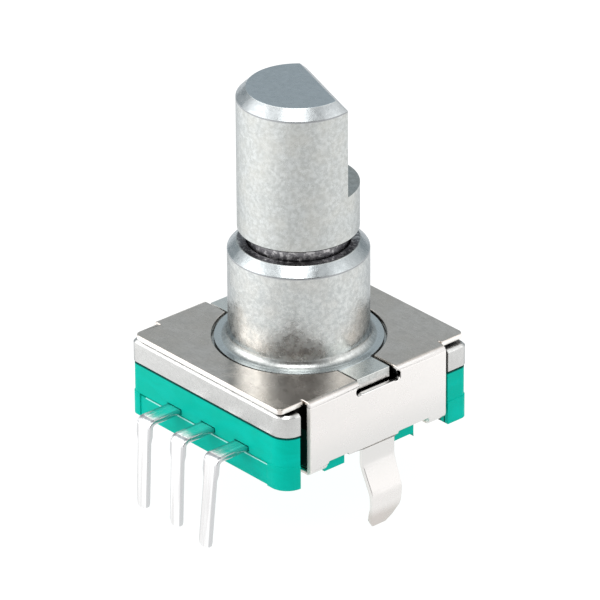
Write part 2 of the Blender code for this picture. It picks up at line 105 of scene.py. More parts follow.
# Cover
SHEET = 0.30
COVER_TOP = COVER_HIGH.z
COVER_BEND = 0.20
TOP_CUT = (COVER_TOP - 0.4, COVER_TOP + 0.4)
COVER_Y = COVER_HIGH.y
SIDE_X = 5.85
SIDE_HALF = 4.45
CORNER_X, CORNER_R = 5.40, 0.35
TEAR_REACH, TEAR_WIDTH = 5.22, 0.08
SIDE_FOOT_Z = 0.76
CRIMP_Z, CRIMP_REACH, CRIMP_START = 0.45, 4.9, 3.35
CRIMP_CUT_X, SIDE_CUT_X = 4.5, 5.0
HOLE_R = 4.32
NOTCH_HALF, NOTCH_Z = 1.20, 3.80
RELIEF_R, RELIEF_X, RELIEF_Z = 0.26, 5.2, NOTCH_Z + 0.2
SIDE_NOTCHES = ((-3.25, -1.95), (1.30, 3.35))
SIDE_NOTCH_TOP = SIDE_FOOT_Z + 0.12
LUG_SHEET = 0.28
LUG_BEND, LUG_BEND_STEPS = 1.2, 12
# how far out from the side plate, height
LUG_PATH = ((0, SIDE_FOOT_Z + 1.2), (0, -0.25), (0.66, -1.75), (0.62, -2.55), (0.02, -3.76))
LUG_HOOK = ((0.20, -3.40), (0.09, -3.62))
# height, half width
LUG_HALVES = ((0, 1.05), (-2.0, 0.97), (-2.9, 0.90), (-3.4, 0.70), (-3.8, 0.40))

# Base
BASE_X, BASE_Y = BASE_HIGH.x, BASE_HIGH.y
BASE_TOP = BASE_HIGH.z
BASE_CORNERS = (0.40, 1.00, 0.40, 1.00)
PARTING_STEP, PARTING_Z = 0.03, 1.25
WAIST_REACH = 5.50
WAIST_START, WAIST_END = -5.00, 4.66
SLOT_REACH, SLOT_END = 5.15, -4.38
RIBS = ((-3.25, -1.95), (1.30, 2.60))
RIB_LOW, RIB_REACH = 0.20, 5.0
POCKET_REACH, POCKET_HIGH = 4.20, CRIMP_Z + SHEET + 0.08
CAVITY_FLOOR = 1.75
FRONT_SETBACK, GROOVE_DEPTH, GROOVE_WIDTH = 0.07, 0.40, 0.12
GROOVE_ENDS = (-5.1, 4.4)

# Terminals
PITCH = 2.5
TERMINALS = {"a": -PITCH, "common": 0, "b": PITCH}
TERMINAL_SHEET, TERMINAL_HALF, LEG_HALF = 0.24, 0.50, 0.40
TERMINAL_TOP = PARTING_Z + 0.30
TERMINAL_LEG_Y, TERMINAL_END_Y = -7.86, -4.2
TERMINAL_BEND = 0.30
TERMINAL_GAP = 0.03
SHOULDER_HIGH, SHOULDER_LOW = 0.7, 0.3
# height over the end of a leg, share of its width
LEG_TIP = ((0.30, 1), (0.12, 0.86), (0, 0.56))


# ---------------------------------------------------------------- shapes, in millimetres

def prism(outline, low, high, plane="XY"):
    """A closed outline in one plane, extruded along the plane's normal from low to high."""
    place = {
        "XY": lambda u, v, w: (u, v, w),
        "XZ": lambda u, v, w: (u, w, v),
        "YZ": lambda u, v, w: (w, u, v),
    }[plane]
    bm = bmesh.new()
    face = bm.faces.new([bm.verts.new(place(u, v, low)) for u, v in outline])
    grown = bmesh.ops.extrude_face_region(bm, geom=[face])["geom"]
    moved = [item for item in grown if isinstance(item, bmesh.types.BMVert)]
    bmesh.ops.translate(bm, vec=place(0, 0, high - low), verts=moved)
    bmesh.ops.recalc_face_normals(bm, faces=bm.faces)
    return bm


def chamfered(bm, height, width):
    """Takes the outer edge off a flat top."""
    rim = [edge for edge in bm.edges if all(abs(vert.co.z - height) < 1e-4 for vert in edge.verts)]
    bmesh.ops.bevel(bm, geom=rim, offset=width, segments=1, affect="EDGES", profile=0.5)
    return bm


def turned(profile, steps=144):
    """A profile of (radius, height) turned about Z. One that starts off the axis is a ring."""
    bm = bmesh.new()
    verts = [bm.verts.new((radius, 0, height)) for radius, height in profile]
    edges = [bm.edges.new(pair) for pair in zip(verts, verts[1:])]
    if profile[0][0] > 0:
        edges.append(bm.edges.new((verts[-1], verts[0])))
    bmesh.ops.spin(bm, geom=verts + edges, axis=(0, 0, 1), cent=(0, 0, 0), steps=steps,
                   angle=2 * math.pi, use_merge=True)
    bmesh.ops.remove_doubles(bm, verts=bm.verts, dist=1e-5)
    bmesh.ops.recalc_face_normals(bm, faces=bm.faces)
    return bm


def box(low, high):
    corners = [(low[0], low[1]), (high[0], low[1]), (high[0], high[1]), (low[0], high[1])]
    return prism(corners, low[2], high[2])


def arc(radius, start, end, steps, centre=(0.0, 0.0)):
    """Points on a circle from start to end, in degrees."""
    angles = [math.radians(start + (end - start) * k / steps) for k in range(steps + 1)]
    return [(centre[0] + radius * math.cos(a), centre[1] + radius * math.sin(a)) for a in angles]


def circle(radius, centre=(0.0, 0.0), steps=144):
    return arc(radius, 0, 360, steps, centre)[:-1]


def rounded_rectangle(half_x, half_y, radii, steps=14):
    outline = []
    signs = ((1, 1, 0), (-1, 1, 90), (-1, -1, 180), (1, -1, 270))
    for (sign_x, sign_y, start), radius in zip(signs, radii):
        centre = (sign_x * (half_x - radius), sign_y * (half_y - radius))
        outline += arc(radius, start, start + 90, steps, centre)
    return outline


def rounded_path(points, radius, steps=8):
    """A polyline with each inner corner replaced by an arc of the given radius."""
    path = [points[0]]
    for before, corner, after in zip(points, points[1:], points[2:]):
        ahead = math.atan2(after[1] - corner[1], after[0] - corner[0])
        behind = math.atan2(before[1] - corner[1], before[0] - corner[0])
        inner = (ahead - behind + math.pi) % (2 * math.pi) - math.pi
        if abs(abs(inner) - math.pi) < 0.02:
            path.append(corner)
            continue
        half = abs(inner) / 2
        reach = radius / math.tan(half)
        middle = behind + inner / 2
        centre = (corner[0] + radius / math.sin(half) * math.cos(middle),
                  corner[1] + radius / math.sin(half) * math.sin(middle))
        first = (corner[0] + reach * math.cos(behind), corner[1] + reach * math.sin(behind))
        last = (corner[0] + reach * math.cos(ahead), corner[1] + reach * math.sin(ahead))
        start = math.atan2(first[1] - centre[1], first[0] - centre[0])
        sweep = math.atan2(last[1] - centre[1], last[0] - centre[0]) - start
        sweep = (sweep + math.pi) % (2 * math.pi) - math.pi
        path += [(centre[0] + radius * math.cos(start + sweep * k / steps),
                  centre[1] + radius * math.sin(start + sweep * k / steps))
                 for k in range(steps + 1)]
    return path + [points[-1]]


def sheet_faces(path, thickness):
    """The two faces of a sheet of even thickness, seen edge on, along a centre path."""
    left, right = [], []
    for k, point in enumerate(path):
        before = path[max(k - 1, 0)]
        after = path[min(k + 1, len(path) - 1)]
        into = (point[0] - before[0], point[1] - before[1])
        out = (after[0] - point[0], after[1] - point[1])
        into = into if k else out
        out = out if k < len(path) - 1 else into
        into_n = (-into[1] / math.hypot(*into), into[0] / math.hypot(*into))
        out_n = (-out[1] / math.hypot(*out), out[0] / math.hypot(*out))
        total = (into_n[0] + out_n[0], into_n[1] + out_n[1])
        scale = thickness / 2 / (1 + into_n[0] * out_n[0] + into_n[1] * out_n[1])
        left.append((point[0] + total[0] * scale, point[1] + total[1] * scale))
        right.append((point[0] - total[0] * scale, point[1] - total[1] * scale))
    return left, right


def strip(path, thickness):
    """The closed outline of a sheet seen edge on."""
    left, right = sheet_faces(path, thickness)
    return left + right[::-1]


def ribbon(path, thickness, centre, halves, place):
    """A bent strip whose half width is given at each point of its path."""
    bm = bmesh.new()
    rings = []
    for left, right, half in zip(*sheet_faces(path, thickness), halves):
        corners = ((left, -half), (left, half), (right, half), (right, -half))
        rings.append([bm.verts.new(place(*point, centre + w)) for point, w in corners])
    for ring, following in zip(rings, rings[1:]):
        for k in range(4):
            bm.faces.new((ring[k], ring[k - 1], following[k - 1], following[k]))
    bm.faces.new(rings[0])
    bm.faces.new(rings[-1][::-1])
    bmesh.ops.recalc_face_normals(bm, faces=bm.faces)
    return bm


def turn(bm, angle):
    bmesh.ops.rotate(bm, cent=(0, 0, 0), matrix=Matrix.Rotation(angle, 3, "Z"), verts=bm.verts)
    return bm


def joined(*shapes):
    """Several separate shapes in one mesh."""
    whole = bmesh.new()
    for shape in shapes:
        mesh = bpy.data.meshes.new("shape")
        shape.to_mesh(mesh)
        shape.free()
        whole.from_mesh(mesh)
        bpy.data.meshes.remove(mesh)
    return whole


def both_sides(make):
    """The same shape on the +X side and, turned half a turn, on the -X side."""
    return joined(make(), turn(make(), math.pi))


# ---------------------------------------------------------------- pieces

def to_object(name, bm):
    bmesh.ops.scale(bm, vec=(MM, MM, MM), verts=bm.verts)
    mesh = bpy.data.meshes.new(name)
    bm.to_mesh(mesh)
    bm.free()
    obj = bpy.data.objects.new(name, mesh)
    bpy.context.collection.objects.link(obj)
    return obj


def settle(obj):
    """Applies the modifiers."""
    seen_by = bpy.context.evaluated_depsgraph_get()
    settled = bpy.data.meshes.new_from_object(obj.evaluated_get(seen_by), depsgraph=seen_by)
    obj.modifiers.clear()
    obj.data = settled


def combine(obj, operation, shapes):
    for shape in shapes:
        helper = to_object("helper", shape)
        modifier = obj.modifiers.new(operation, "BOOLEAN")
        modifier.operation = operation
        modifier.object = helper
        settle(obj)
        bpy.data.objects.remove(helper)


def cut(obj, *shapes):
    combine(obj, "DIFFERENCE", shapes)


def add(obj, *shapes):
    combine(obj, "UNION", shapes)


def soften(obj, width, angle=30, segments=3, clamp=True):
    """Rounds the sharp edges and keeps the flat faces flat."""
    bm = bmesh.new()
    bm.from_mesh(obj.data)
    bmesh.ops.remove_doubles(bm, verts=bm.verts, dist=2e-7)
    bmesh.ops.dissolve_limit(bm, angle_limit=math.radians(0.5), verts=bm.verts, edges=bm.edges)
    bm.to_mesh(obj.data)
    bm.free()
    bevel = obj.modifiers.new("bevel", "BEVEL")
    bevel.width = width * MM
    bevel.segments = segments
    bevel.limit_method = "ANGLE"
    bevel.angle_limit = math.radians(angle)
    bevel.miter_outer = "MITER_ARC"
    bevel.use_clamp_overlap = clamp
    settle(obj)
    obj.data.shade_smooth()
    obj.data.set_sharp_from_angle(angle=math.radians(50))
    weighted = obj.modifiers.new("flat_faces", "WEIGHTED_NORMAL")
    weighted.keep_sharp = True
    weighted.weight = 100


def finish_piece(obj, node, body, look):
    """The piece stands for a CAD node, moves with its body and takes its material."""
    obj.data.materials.clear()
    obj.data.materials.append(look)
    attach(obj, body)
    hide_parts(node)


# ---------------------------------------------------------------- materials

class Look:
    """A Principled material whose nodes work in millimetres of the object's own space."""

    def __init__(self, name, metallic=0.0, **fixed):
        self.material = bpy.data.materials.new(name)
        self.material.use_nodes = True
        self.tree = self.material.node_tree
        self.shader = self.tree.nodes["Principled BSDF"]
        self.shader.inputs["Metallic"].default_value = metallic
        for socket, value in fixed.items():
            self.shader.inputs[socket.replace("_", " ")].default_value = value
        place = self.tree.nodes.new("ShaderNodeTexCoord").outputs["Object"]
        self.place = self.mapped(place, (1 / MM, 1 / MM, 1 / MM))

    def node(self, kind, **settings):
        made = self.tree.nodes.new(kind)
        for key, value in settings.items():
            setattr(made, key, value)
        return made

    def link(self, source, target):
        self.tree.links.new(source, target)

    def mapped(self, place, scale, location=(0, 0, 0)):
        mapping = self.node("ShaderNodeMapping")
        mapping.inputs["Scale"].default_value = scale
        mapping.inputs["Location"].default_value = location
        self.link(place, mapping.inputs["Vector"])
        return mapping.outputs["Vector"]

    def noise(self, per_mm, detail=3.0, rough=0.55, stretch=(1, 1, 1), shift=0.0, distort=0.0):
        """Noise with the given number of features to the millimetre."""
        made = self.node("ShaderNodeTexNoise")
        made.inputs["Scale"].default_value = per_mm
        made.inputs["Detail"].default_value = detail
        made.inputs["Roughness"].default_value = rough
        made.inputs["Distortion"].default_value = distort
        self.link(self.mapped(self.place, stretch, (shift, shift, shift)), made.inputs["Vector"])
        return made.outputs["Fac"]

    def remap(self, value, low, high, to_low=0.0, to_high=1.0):
        made = self.node("ShaderNodeMapRange", interpolation_type="SMOOTHSTEP")
        limits = {"From Min": low, "From Max": high, "To Min": to_low, "To Max": to_high}
        for key, number in limits.items():
            made.inputs[key].default_value = number
        self.link(value, made.inputs["Value"])
        return made.outputs["Result"]

    def maths(self, operation, first, second):
        made = self.node("ShaderNodeMath", operation=operation)
        for socket, value in zip(made.inputs, (first, second)):
            if isinstance(value, (int, float)):
                socket.default_value = value
            else:
                self.link(value, socket)
        return made.outputs[0]

    def mix(self, factor, first, second):
        made = self.node("ShaderNodeMix", data_type="RGBA")
        if isinstance(factor, (int, float)):
            made.inputs["Factor"].default_value = factor
        else:
            self.link(factor, made.inputs["Factor"])
        for socket, value in ((made.inputs[6], first), (made.inputs[7], second)):
            if isinstance(value, tuple):
                socket.default_value = (*value, 1.0)
            else:
                self.link(value, socket)
        return made.outputs[2]

    def between(self, axis, low, high, soft=0.03):
        """1 where X, Y or Z is between low and high, with soft ends. X and Y count from the axis."""
        apart = self.node("ShaderNodeSeparateXYZ")
        self.link(self.place, apart.inputs[0])
        value = self.maths("ABSOLUTE", apart.outputs[axis], 0) if axis in "XY" else apart.outputs[axis]
        return self.maths("MULTIPLY", self.remap(value, low - soft, low + soft),
                          self.remap(value, high - soft, high + soft, 1.0, 0.0))

    def zone(self, x, y, z, soft=0.01):
        """1 inside a box given by its ranges, the same on all four sides of the axis."""
        flat = self.maths("MULTIPLY", self.between("X", *x, soft), self.between("Y", *y, soft))
        return self.maths("MULTIPLY", flat, self.between("Z", *z, soft))

    def along(self, heading, near, far, near_value, far_value):
        """Changes from one value to another with the distance from the axis along a heading."""
        made = self.node("ShaderNodeVectorMath", operation="DOT_PRODUCT")
        self.link(self.place, made.inputs[0])
        made.inputs[1].default_value = (*heading, 0)
        return self.remap(made.outputs["Value"], near, far, near_value, far_value)

    def inside(self, radius, soft=0.03):
        """1 inside a radius about the shaft's axis."""
        flat = self.mapped(self.place, (1, 1, 0))
        length = self.node("ShaderNodeVectorMath", operation="LENGTH")
        self.link(flat, length.inputs[0])
        return self.remap(length.outputs["Value"], radius - soft, radius + soft, 1.0, 0.0)

    def set(self, socket, value):
        self.link(value, self.shader.inputs[socket])

    def bump(self, height, depth, strength=1.0):
        """Relief of the given depth in millimetres."""
        made = self.node("ShaderNodeBump")
        made.inputs["Strength"].default_value = strength
        made.inputs["Distance"].default_value = depth * MM
        self.link(height, made.inputs["Height"])
        self.link(made.outputs["Normal"], self.shader.inputs["Normal"])


# Zones: the ranges of a box in X, Y and Z, with X and Y counted from the axis, and the colour there
FAR = 9
ALL = (-9, 20)
BLACK, DARK_GREEN = (0.01, 0.01, 0.01), (0.0, 0.02, 0.015)
EDGE_HIGHLIGHT_CREAM = (0.92, 0.90, 0.87)
# Painted shade: the boxes below are painted black on the casting and dark green on the moulding, in the
# slots beside the side plates, under and beside the tabs and on the rebate's riser under the top plate
NEAR_SLOT = ((4.9, 5.22), (4.3, 5.02), ALL)
FAR_SLOT = ((5.46, 5.53), (4.36, 4.70), ALL)
SLOT_WALL = ((5.10, 5.53), (4.33, 4.42), ALL)
UNDER_TAB = ((4.6, 5.35), (-1, 1.6), (2.5, TAB_LOW - 0.02))
BESIDE_TAB = ((5.0, 5.2), (TAB_HALF + 0.04, 1.6), (2.5, 4.2))
REBATE_RISER = (ALL, (4.0, FAR), (REBATE_Z + 0.02, FLANGE_HIGH + 0.01))

SHAFT_ZONES = (
    # a painted shade line under the tip's chamfer, and painted reflection tones on the tip and the chamfer
    ((ALL, ALL, (SHAFT_TIP - TIP_CHAMFER - 0.08, SHAFT_TIP - TIP_CHAMFER)), (0.33, 0.34, 0.35)),
    ((ALL, ALL, (SHAFT_TIP - 0.02, ALL[1])), (0.62, 0.67, 0.70)),
    ((ALL, ALL, (SHAFT_TIP - TIP_CHAMFER, SHAFT_TIP - 0.04)), (0.485, 0.51, 0.52)),
)
BUSHING_ZONES = (
    # the flange's band, a painted shade line under the chamfer and a painted bluish reflection tone on the
    # chamfer
    ((ALL, ALL, (FLANGE_LOW - OVER, REBATE_Z + 0.02)), (0.575, 0.575, 0.565)),
    ((ALL, ALL, (BUSH_TOP - BUSH_CHAMFER - 0.08, BUSH_TOP - BUSH_CHAMFER)), (0.35, 0.36, 0.37)),
    ((ALL, ALL, (BUSH_TOP - BUSH_CHAMFER, BUSH_TOP - 0.03)), (0.46, 0.49, 0.50)),
    # painted highlights on the boss's top, the tabs' tops and the flange's lower edge
    ((ALL, ALL, (BOSS_Z - 0.05, BOSS_Z + 0.02)), (0.68, 0.72, 0.73)),
    (((4.2, 7), (-1, TAB_HALF + 0.05), (TAB_TOP - 0.03, 5)), (0.88, 0.89, 0.86)),
    ((ALL, ALL, (FLANGE_LOW - OVER, FLANGE_LOW + 0.07)), (0.85, 0.86, 0.85)),
    # what lies in shade
    *((box_ranges, BLACK) for box_ranges in
      (NEAR_SLOT, FAR_SLOT, SLOT_WALL, UNDER_TAB, BESIDE_TAB, REBATE_RISER)),
)

TOP_EDGE = (COVER_TOP - SHEET, COVER_TOP - 0.05)
COVER_ZONES = (
    # the side plates, painted lighter and greyer than the top plate as painted light
    (((SIDE_X - 0.25, FAR), ALL, (-FAR, COVER_TOP - 0.08)), (0.81, 0.79, 0.775)),
    # painted highlights on the top plate's sheared edges at the front, the back and the corners
    ((ALL, (COVER_Y - 0.05, FAR), TOP_EDGE), EDGE_HIGHLIGHT_CREAM),
    (((CORNER_X - 0.03, FAR), (SIDE_HALF + 0.1, FAR), TOP_EDGE), EDGE_HIGHLIGHT_CREAM),
    # painted shade on the inner faces and in the relief holes beside the notch
    (((-1, 5.565), ALL, (0.9, COVER_TOP - SHEET + 0.02)), (0.02, 0.02, 0.02)),
    (((5.2, 5.80), (NOTCH_HALF - 0.3, NOTCH_HALF + 0.3), (3.84, 4.27)), (0.02, 0.02, 0.02)),
)
SHEARED_EDGE = (
    (SIDE_X - SHEET + 0.02, FAR),
    (SIDE_HALF - 0.05, SIDE_HALF + 0.04),
    (-FAR, COVER_TOP - SHEET),
)
SHEARED_EDGE_HIGHLIGHT = (0.86, 0.84, 0.80)
SIDE_BEND_HIGHLIGHT = ((SIDE_X - 0.25, FAR), ALL, (COVER_TOP - 0.28, COVER_TOP - 0.04))
PLATE_FOOT, PLATE_FOOT_GREY = (-0.5, 1.8), (0.72, 0.71, 0.695)
LUG_TIP_SHADE = (COVER_LOW.z - OVER, -2.7)

LEDGE_Z = PARTING_Z - GROOVE_WIDTH
BASE_ZONES = (
    # painted shade on the rim under the flange and in the slots, and a painted highlight on the ledge over
    # the groove
    ((ALL, ALL, (BASE_TOP - 0.06, 5)), (0.0, 0.10, 0.08)),
    *((box_ranges, DARK_GREEN) for box_ranges in (NEAR_SLOT, FAR_SLOT, SLOT_WALL)),
    (((-1, 4.72), (5.90, 5.945), (LEDGE_Z - 0.05, LEDGE_Z + 0.02)), (0.45, 0.95, 0.9)),
)
TIN_HALF = 0.33  # half the width of a terminal between its sheared edges

# Pale, dark and stained tones of a surface, and pale and dark ones of the pieces inside
SHAFT_TONES = ((0.56, 0.58, 0.575), (0.43, 0.445, 0.435), (0.54, 0.53, 0.485))
BUSHING_TONES = ((0.61, 0.63, 0.62), (0.46, 0.48, 0.475), (0.56, 0.54, 0.50))
COVER_TONES = ((0.79, 0.73, 0.685), (0.66, 0.61, 0.57), (0.63, 0.57, 0.51))
BRONZE = ((0.74, 0.52, 0.30), (0.60, 0.40, 0.22))
BRASS = ((0.78, 0.62, 0.32), (0.64, 0.50, 0.24))
CLIP_STEEL = ((0.50, 0.50, 0.51), (0.38, 0.38, 0.39))
SPRING_STEEL = ((0.64, 0.62, 0.58), (0.52, 0.50, 0.47))


def darker(colour, share):
    return tuple(share * channel for channel in colour)


# Painted shade: the neck and the top of the bushing around it are painted dark grey with paler mottles,
# where the gap under the shaft's head lies in shade
NECK_SHADE_R = 3.0  # the neck and the top of the bushing around it
NECK_SHADE_DARK, NECK_SHADE_PALE = (0.20, 0.195, 0.205), (0.60, 0.59, 0.59)
SHAFT_NECK_SHADE = (BUSH_TOP - 0.5, SHOULDER_Z + 0.02)
BUSHING_NECK_SHADE = (BUSH_TOP - 0.5, BUSH_TOP + 0.5)


def cast_zinc(name, tones, rough, neck_shade, zones):
    """Plated die casting: satin, with fine mottling, and painted shade between two heights.

    Each zone is the ranges of a box in X, Y and Z with the colour painted there, mostly painted shade,
    painted highlights and painted reflection tones."""
    pale, dark, warm = tones
    look = Look(name, metallic=1.0, Specular_Tint=(0.62, 0.64, 0.66, 1.0))
    clouds = look.remap(look.noise(0.9, detail=4, shift=3), 0.35, 0.70)
    mottle = look.remap(look.noise(4.5, detail=5, rough=0.65, shift=7), 0.36, 0.66)
    stain = look.remap(look.noise(1.7, detail=4, rough=0.6, shift=13), 0.48, 0.74)
    colour = look.mix(mottle, dark, pale)
    colour = look.mix(look.maths("MULTIPLY", clouds, 0.35), colour, warm)
    colour = look.mix(look.maths("MULTIPLY", stain, 0.34), colour, dark)
    # the zones paint shade lines, highlights and reflection tones onto the casting
    for ranges, tone in zones:
        even = look.mix(look.maths("MULTIPLY", mottle, 0.5), tone, darker(tone, 0.86))
        colour = look.mix(look.zone(*ranges), colour, even)
    # painted shade on the neck and on the bushing's top under the shaft's head, with paler mottles
    shaded_neck = look.maths("MULTIPLY", look.between("Z", *neck_shade), look.inside(NECK_SHADE_R))
    neck_shade_mottle = look.mix(look.remap(mottle, 0.4, 1.0), NECK_SHADE_DARK, NECK_SHADE_PALE)
    look.set("Base Color", look.mix(look.maths("MULTIPLY", shaded_neck, 0.97), colour, neck_shade_mottle))
    grain = look.noise(3.0, detail=4, rough=0.6, shift=21)
    look.set("Roughness", look.remap(grain, 0.3, 0.7, rough - 0.06, rough + 0.08))
    skin = look.noise(7.0, detail=4, rough=0.6, shift=31)
    swell = look.noise(1.4, detail=2, shift=41)
    look.bump(look.maths("ADD", look.maths("MULTIPLY", skin, 0.45), swell), 0.014)
    return look.material


def nickel_sheet(name, tones, rough):
    """Rolled and plated sheet: soft grain along X, handling haze and brownish clouds.

    The side plates are painted lighter than the top plate, a painted light, and greyer toward their feet,
    and the tips of the lugs are painted darker as painted shade. The sheared edges beside the corner slots
    are painted pale cream and the bends over the side plates are made partly diffuse, both painted
    highlights."""
    pale, dark, brown = tones
    look = Look(name, metallic=1.0)
    grain = look.noise(6.0, detail=4, rough=0.6, stretch=(0.25, 1, 1), shift=5)
    haze = look.remap(look.noise(0.45, detail=4, rough=0.6, shift=9), 0.38, 0.68)
    spots = look.remap(look.noise(2.2, detail=5, rough=0.7, shift=17), 0.42, 0.68)
    colour = look.mix(look.remap(grain, 0.15, 0.85), dark, pale)
    colour = look.mix(look.maths("MULTIPLY", haze, 0.5), colour, brown)
    colour = look.mix(look.maths("MULTIPLY", spots, 0.40), colour, darker(dark, 0.82))
    dust = look.remap(look.noise(8.0, detail=4, rough=0.7, shift=33), 0.45, 0.70)
    colour = look.mix(look.maths("MULTIPLY", dust, 0.30), colour, darker(brown, 0.72))
    # the zones paint light on the side plates, highlights on the top plate's edges and shade on the inner
    # faces
    for ranges, tone in COVER_ZONES:
        colour = look.mix(look.maths("MULTIPLY", look.zone(*ranges, soft=0.02), 0.88), colour, tone)
    foot = look.maths("MULTIPLY", look.between("Z", *PLATE_FOOT, 0.9), look.between("X", SIDE_X - 0.1, FAR))
    colour = look.mix(foot, colour, PLATE_FOOT_GREY)
    # painted shade: the tips of the lugs are painted darker, for the shadow near the floor that they
    # reflect
    tip = look.between("Z", *LUG_TIP_SHADE, 0.4)
    colour = look.mix(look.maths("MULTIPLY", tip, 0.85), colour, darker(dark, 0.82))
    # painted highlight: the sheared edges beside the corner slots are painted pale cream, and these edges
    # and the bends are made partly diffuse so that they read bright
    sheared = look.zone(*SHEARED_EDGE)
    look.set("Base Color", look.mix(sheared, colour, SHEARED_EDGE_HIGHLIGHT))
    bend_highlight = look.zone(*SIDE_BEND_HIGHLIGHT, soft=0.04)
    satin = look.maths("MAXIMUM", sheared, look.maths("MULTIPLY", bend_highlight, 0.7))
    look.set("Metallic", look.remap(satin, 0, 1, 1.0, 0.1))
    wear = look.noise(1.3, detail=4, shift=23)
    look.set("Roughness", look.remap(wear, 0.3, 0.7, rough - 0.05, rough + 0.09))
    relief = look.maths("ADD", look.maths("MULTIPLY", grain, 0.15), look.noise(0.8, detail=2, shift=29))
    look.bump(relief, 0.012)
    return look.material


def tinned_brass(name, x):
    """Bright tin plating over a stamped strip about x: drawing lines, and edges painted grey as painted
    shade, which outlines the strip.
    """
    look = Look(name, metallic=1.0)
    lines = look.noise(5.0, detail=3, rough=0.55, stretch=(1, 0.04, 0.04), shift=2)
    skin = look.noise(1.5, detail=3, shift=11)
    colour = look.mix(look.remap(lines, 0.35, 0.62), (0.80, 0.79, 0.79), (0.98, 0.98, 0.98))
    # painted shade: grey along both edges of the strip, outside its flat middle
    flat = look.between("X", abs(x) - TIN_HALF, abs(x) + TIN_HALF, 0.03)
    look.set("Base Color", look.mix(flat, (0.60, 0.60, 0.61), colour))
    look.set("Roughness", look.remap(skin, 0.3, 0.7, 0.16, 0.26))
    look.bump(look.maths("ADD", look.maths("MULTIPLY", skin, 0.3), lines), 0.020)
    return look.material


def green_plastic(name):
    """Glass-filled moulding: an even colour with a faint flow pattern and a fine skin."""
    look = Look(name, Specular_IOR_Level=0.04)
    flow = look.remap(look.noise(0.5, detail=4, stretch=(1, 1, 2.5), distort=0.6, shift=6), 0.35, 0.7)
    speck = look.remap(look.noise(14.0, detail=3, rough=0.7, shift=8), 0.35, 0.7)
    colour = look.mix(flow, (0.0, 0.45, 0.34), (0.0, 0.50, 0.395))
    colour = look.mix(look.maths("MULTIPLY", speck, 0.12), colour, (0.0, 0.60, 0.49))
    # the zones paint shade on the rim and in the slots and a highlight on the ledge
    for ranges, tone in BASE_ZONES:
        colour = look.mix(look.zone(*ranges), colour, tone)
    look.set("Base Color", colour)
    look.set("Roughness", look.remap(look.noise(2.5, detail=4, shift=12), 0.3, 0.7, 0.32, 0.46))
    look.bump(look.noise(10.0, detail=4, rough=0.65, shift=15), 0.006)
    return look.material


def inner_metal(name, pale, dark, rough):
    """Stamped strip inside the body, with rolling marks."""
    look = Look(name, metallic=1.0)
    marks = look.noise(12.0, detail=4, rough=0.6, stretch=(0.08, 1, 1), shift=3)
    look.set("Base Color", look.mix(look.remap(marks, 0.3, 0.7), dark, pale))
    wear = look.noise(3.0, detail=3, shift=5)
    look.set("Roughness", look.remap(wear, 0.3, 0.7, rough - 0.05, rough + 0.1))
    look.bump(marks, 0.004)
    return look.material


def inner_plastic(name):
    """Dark moulding inside the body, with a faint flow pattern."""
    look = Look(name)
    flow = look.remap(look.noise(1.2, detail=4, distort=0.4, shift=3), 0.3, 0.7)
    look.set("Base Color", look.mix(flow, (0.030, 0.030, 0.032), (0.055, 0.055, 0.057)))
    look.set("Roughness", look.remap(look.noise(4.0, detail=3, shift=5), 0.3, 0.7, 0.42, 0.60))
    look.bump(look.noise(9.0, detail=4, shift=9), 0.006)
    return look.material


# ---------------------------------------------------------------- shaft and bushing

def make_shaft(look):
    profile = rounded_path([
        (TIP_MIDDLE_R, SHAFT_TIP),
        (HEAD_R - TIP_CHAMFER, SHAFT_TIP),
        (HEAD_R, SHAFT_TIP - TIP_CHAMFER),
        (HEAD_R, SHOULDER_Z + SHOULDER_CHAMFER),
        (HEAD_R - SHOULDER_CHAMFER, SHOULDER_Z),
        (NECK_R, SHOULDER_Z),
    ], EDGE_R, EDGE_STEPS)
    profile = [(0, SHAFT_TIP)] + profile + [
        (NECK_R, GROOVE_HIGH),
        (GROOVE_R, GROOVE_HIGH),
        (GROOVE_R, GROOVE_LOW),
        (DRIVE_R, GROOVE_LOW),
        (DRIVE_R, DRIVE_LOW),
        (FOOT_R, DRIVE_LOW),
        (FOOT_R, SHAFT_LOW.z + FOOT_CHAMFER),
        (FOOT_R - FOOT_CHAMFER, SHAFT_LOW.z),
        (0, SHAFT_LOW.z),
    ]
    shaft = to_object("shaft_casting", turned(profile))
    reach = HEAD_R + OVER
    flat = [
        (FLAT_DISTANCE, FLAT_FOOT_Z),
        (reach, FLAT_FOOT_Z),
        (reach, SHAFT_TIP + TIP_OVER),
        (FLAT_DISTANCE - TIP_CHAMFER - TIP_OVER, SHAFT_TIP + TIP_OVER),
        (FLAT_DISTANCE, SHAFT_TIP - TIP_CHAMFER),
    ]
    cut(shaft, turn(prism(flat, -reach, reach, "XZ"), FLAT_TURN))
    drive_cut = ((DRIVE_HALF, -DRIVE_CUT, DRIVE_LOW), (DRIVE_CUT, DRIVE_CUT, GROOVE_LOW))
    cut(shaft, both_sides(lambda: box(*drive_cut)))
    soften(shaft, 0.05, angle=34)
    finish_piece(shaft, "shaft", "spindle", look)


